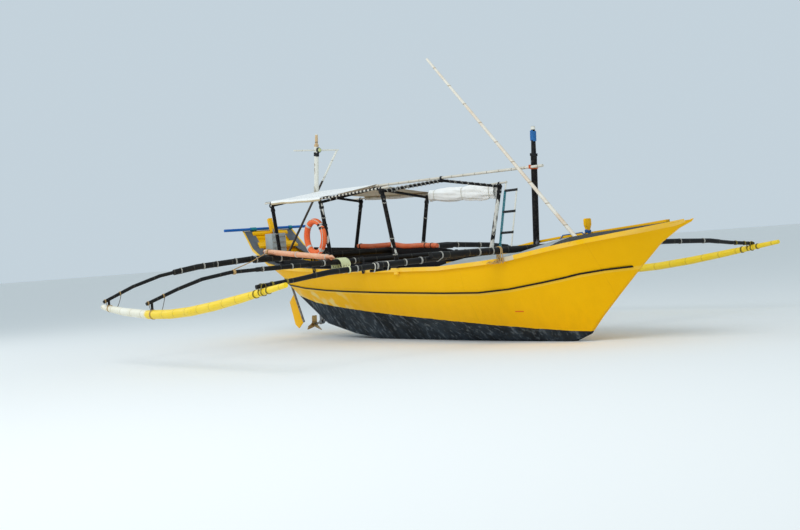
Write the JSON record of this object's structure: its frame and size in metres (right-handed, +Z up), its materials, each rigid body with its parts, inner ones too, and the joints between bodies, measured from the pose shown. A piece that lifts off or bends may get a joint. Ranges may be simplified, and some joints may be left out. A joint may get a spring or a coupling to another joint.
{
  "type": "outrigger canoe",
  "caption": "Motorised plywood outrigger canoe with a raked stern, bamboo floats on lashed booms, canopy frame with tarp, masts, rudder and shaft-driven propeller.",
  "frame": {"origin": "on the floor under the middle of the boat, midway between stern and bow tips and between the two floats", "axes": "+X to the bow, +Y to port, +Z up from the flat of the keel"},
  "size_m": [11.13, 9.7388, 4.6114],
  "materials": {
    "hull_paint": "satin",
    "black_paint": "satin",
    "grey_deck": "matte",
    "pale_deck": "matte",
    "bare_boards": "matte",
    "engine": "satin",
    "shaft_steel": "satin",
    "bronze": "satin",
    "yellow_wood": "satin",
    "dark_bamboo": "satin",
    "float_paint": "satin",
    "black_pole": "satin",
    "pale_bamboo": "matte",
    "tarpaulin": "matte",
    "white_pole": "satin",
    "lamp": "gloss",
    "blue_pipe": "satin",
    "orange_foam": "matte"
  },
  "bodies": {
    "boat": {"hull_shell": "hull_paint", "rub_rail_starboard": "hull_paint", "rub_rail_port": "hull_paint", "stripe_batten_starboard": "black_paint", "stripe_batten_port": "black_paint", "side_deck_starboard": "grey_deck", "side_deck_port": "grey_deck", "foredeck": "pale_deck", "washboard_starboard": "black_paint", "washboard_port": "black_paint", "bulkhead_aft": "hull_paint", "bulkhead_fore": "hull_paint", "floor_boards": "bare_boards", "engine_block": "engine", "engine_cover": "pale_deck", "shaft_bracket": "shaft_steel", "spar_aft": "dark_bamboo", "arm_aft_starboard": "dark_bamboo", "arm_aft_port": "dark_bamboo", "spar_mid": "dark_bamboo", "arm_mid_starboard": "dark_bamboo", "arm_mid_port": "dark_bamboo", "spar_fore": "dark_bamboo", "arm_fore_starboard": "dark_bamboo", "arm_fore_port": "dark_bamboo", "float_starboard": "float_paint", "float_port": "float_paint", "hoop_aft": "black_pole", "hoop_mid": "black_pole", "hoop_fore": "black_pole", "ridge_pole": "pale_bamboo", "eave_pole_starboard": "pale_bamboo", "eave_pole_port": "pale_bamboo", "roof_tarp": "tarpaulin", "gathered_tarp": "tarpaulin", "fore_mast": "black_pole", "aft_mast": "white_pole", "mast_brace": "black_pole", "mast_lamp": "lamp", "leaning_pole": "pale_bamboo", "stern_bar_fore": "yellow_wood", "stern_bar_aft": "yellow_wood", "helm_box": "pale_deck", "stern_pole": "blue_pipe", "thwart_aft": "yellow_wood", "thwart_fore": "yellow_wood", "ladder": "white_pole", "life_ring": "orange_foam", "foam_roll_starboard": "orange_foam", "foam_roll_port": "orange_foam", "bollard": "yellow_wood", "king_plank": "yellow_wood"},
    "propeller": {"propeller_shaft": "shaft_steel", "propeller": "bronze"},
    "rudder": {"rudder_stock": "shaft_steel", "rudder_blade": "yellow_wood", "tiller_head": "yellow_wood"}
  },
  "joints": [
    {"name": "propeller_spin", "type": "hinge", "parent": "boat", "child": "propeller", "pos_m": [-4.02, 0, 0.218], "axis": [-0.9862, 0, -0.1653], "continuous": true},
    {"name": "rudder_steer", "type": "hinge", "parent": "boat", "child": "rudder", "pos_m": [-4.4, 0, 0.26], "axis": [-0.456, 0, 0.89], "range_deg": [-35, 35]}
  ]
}
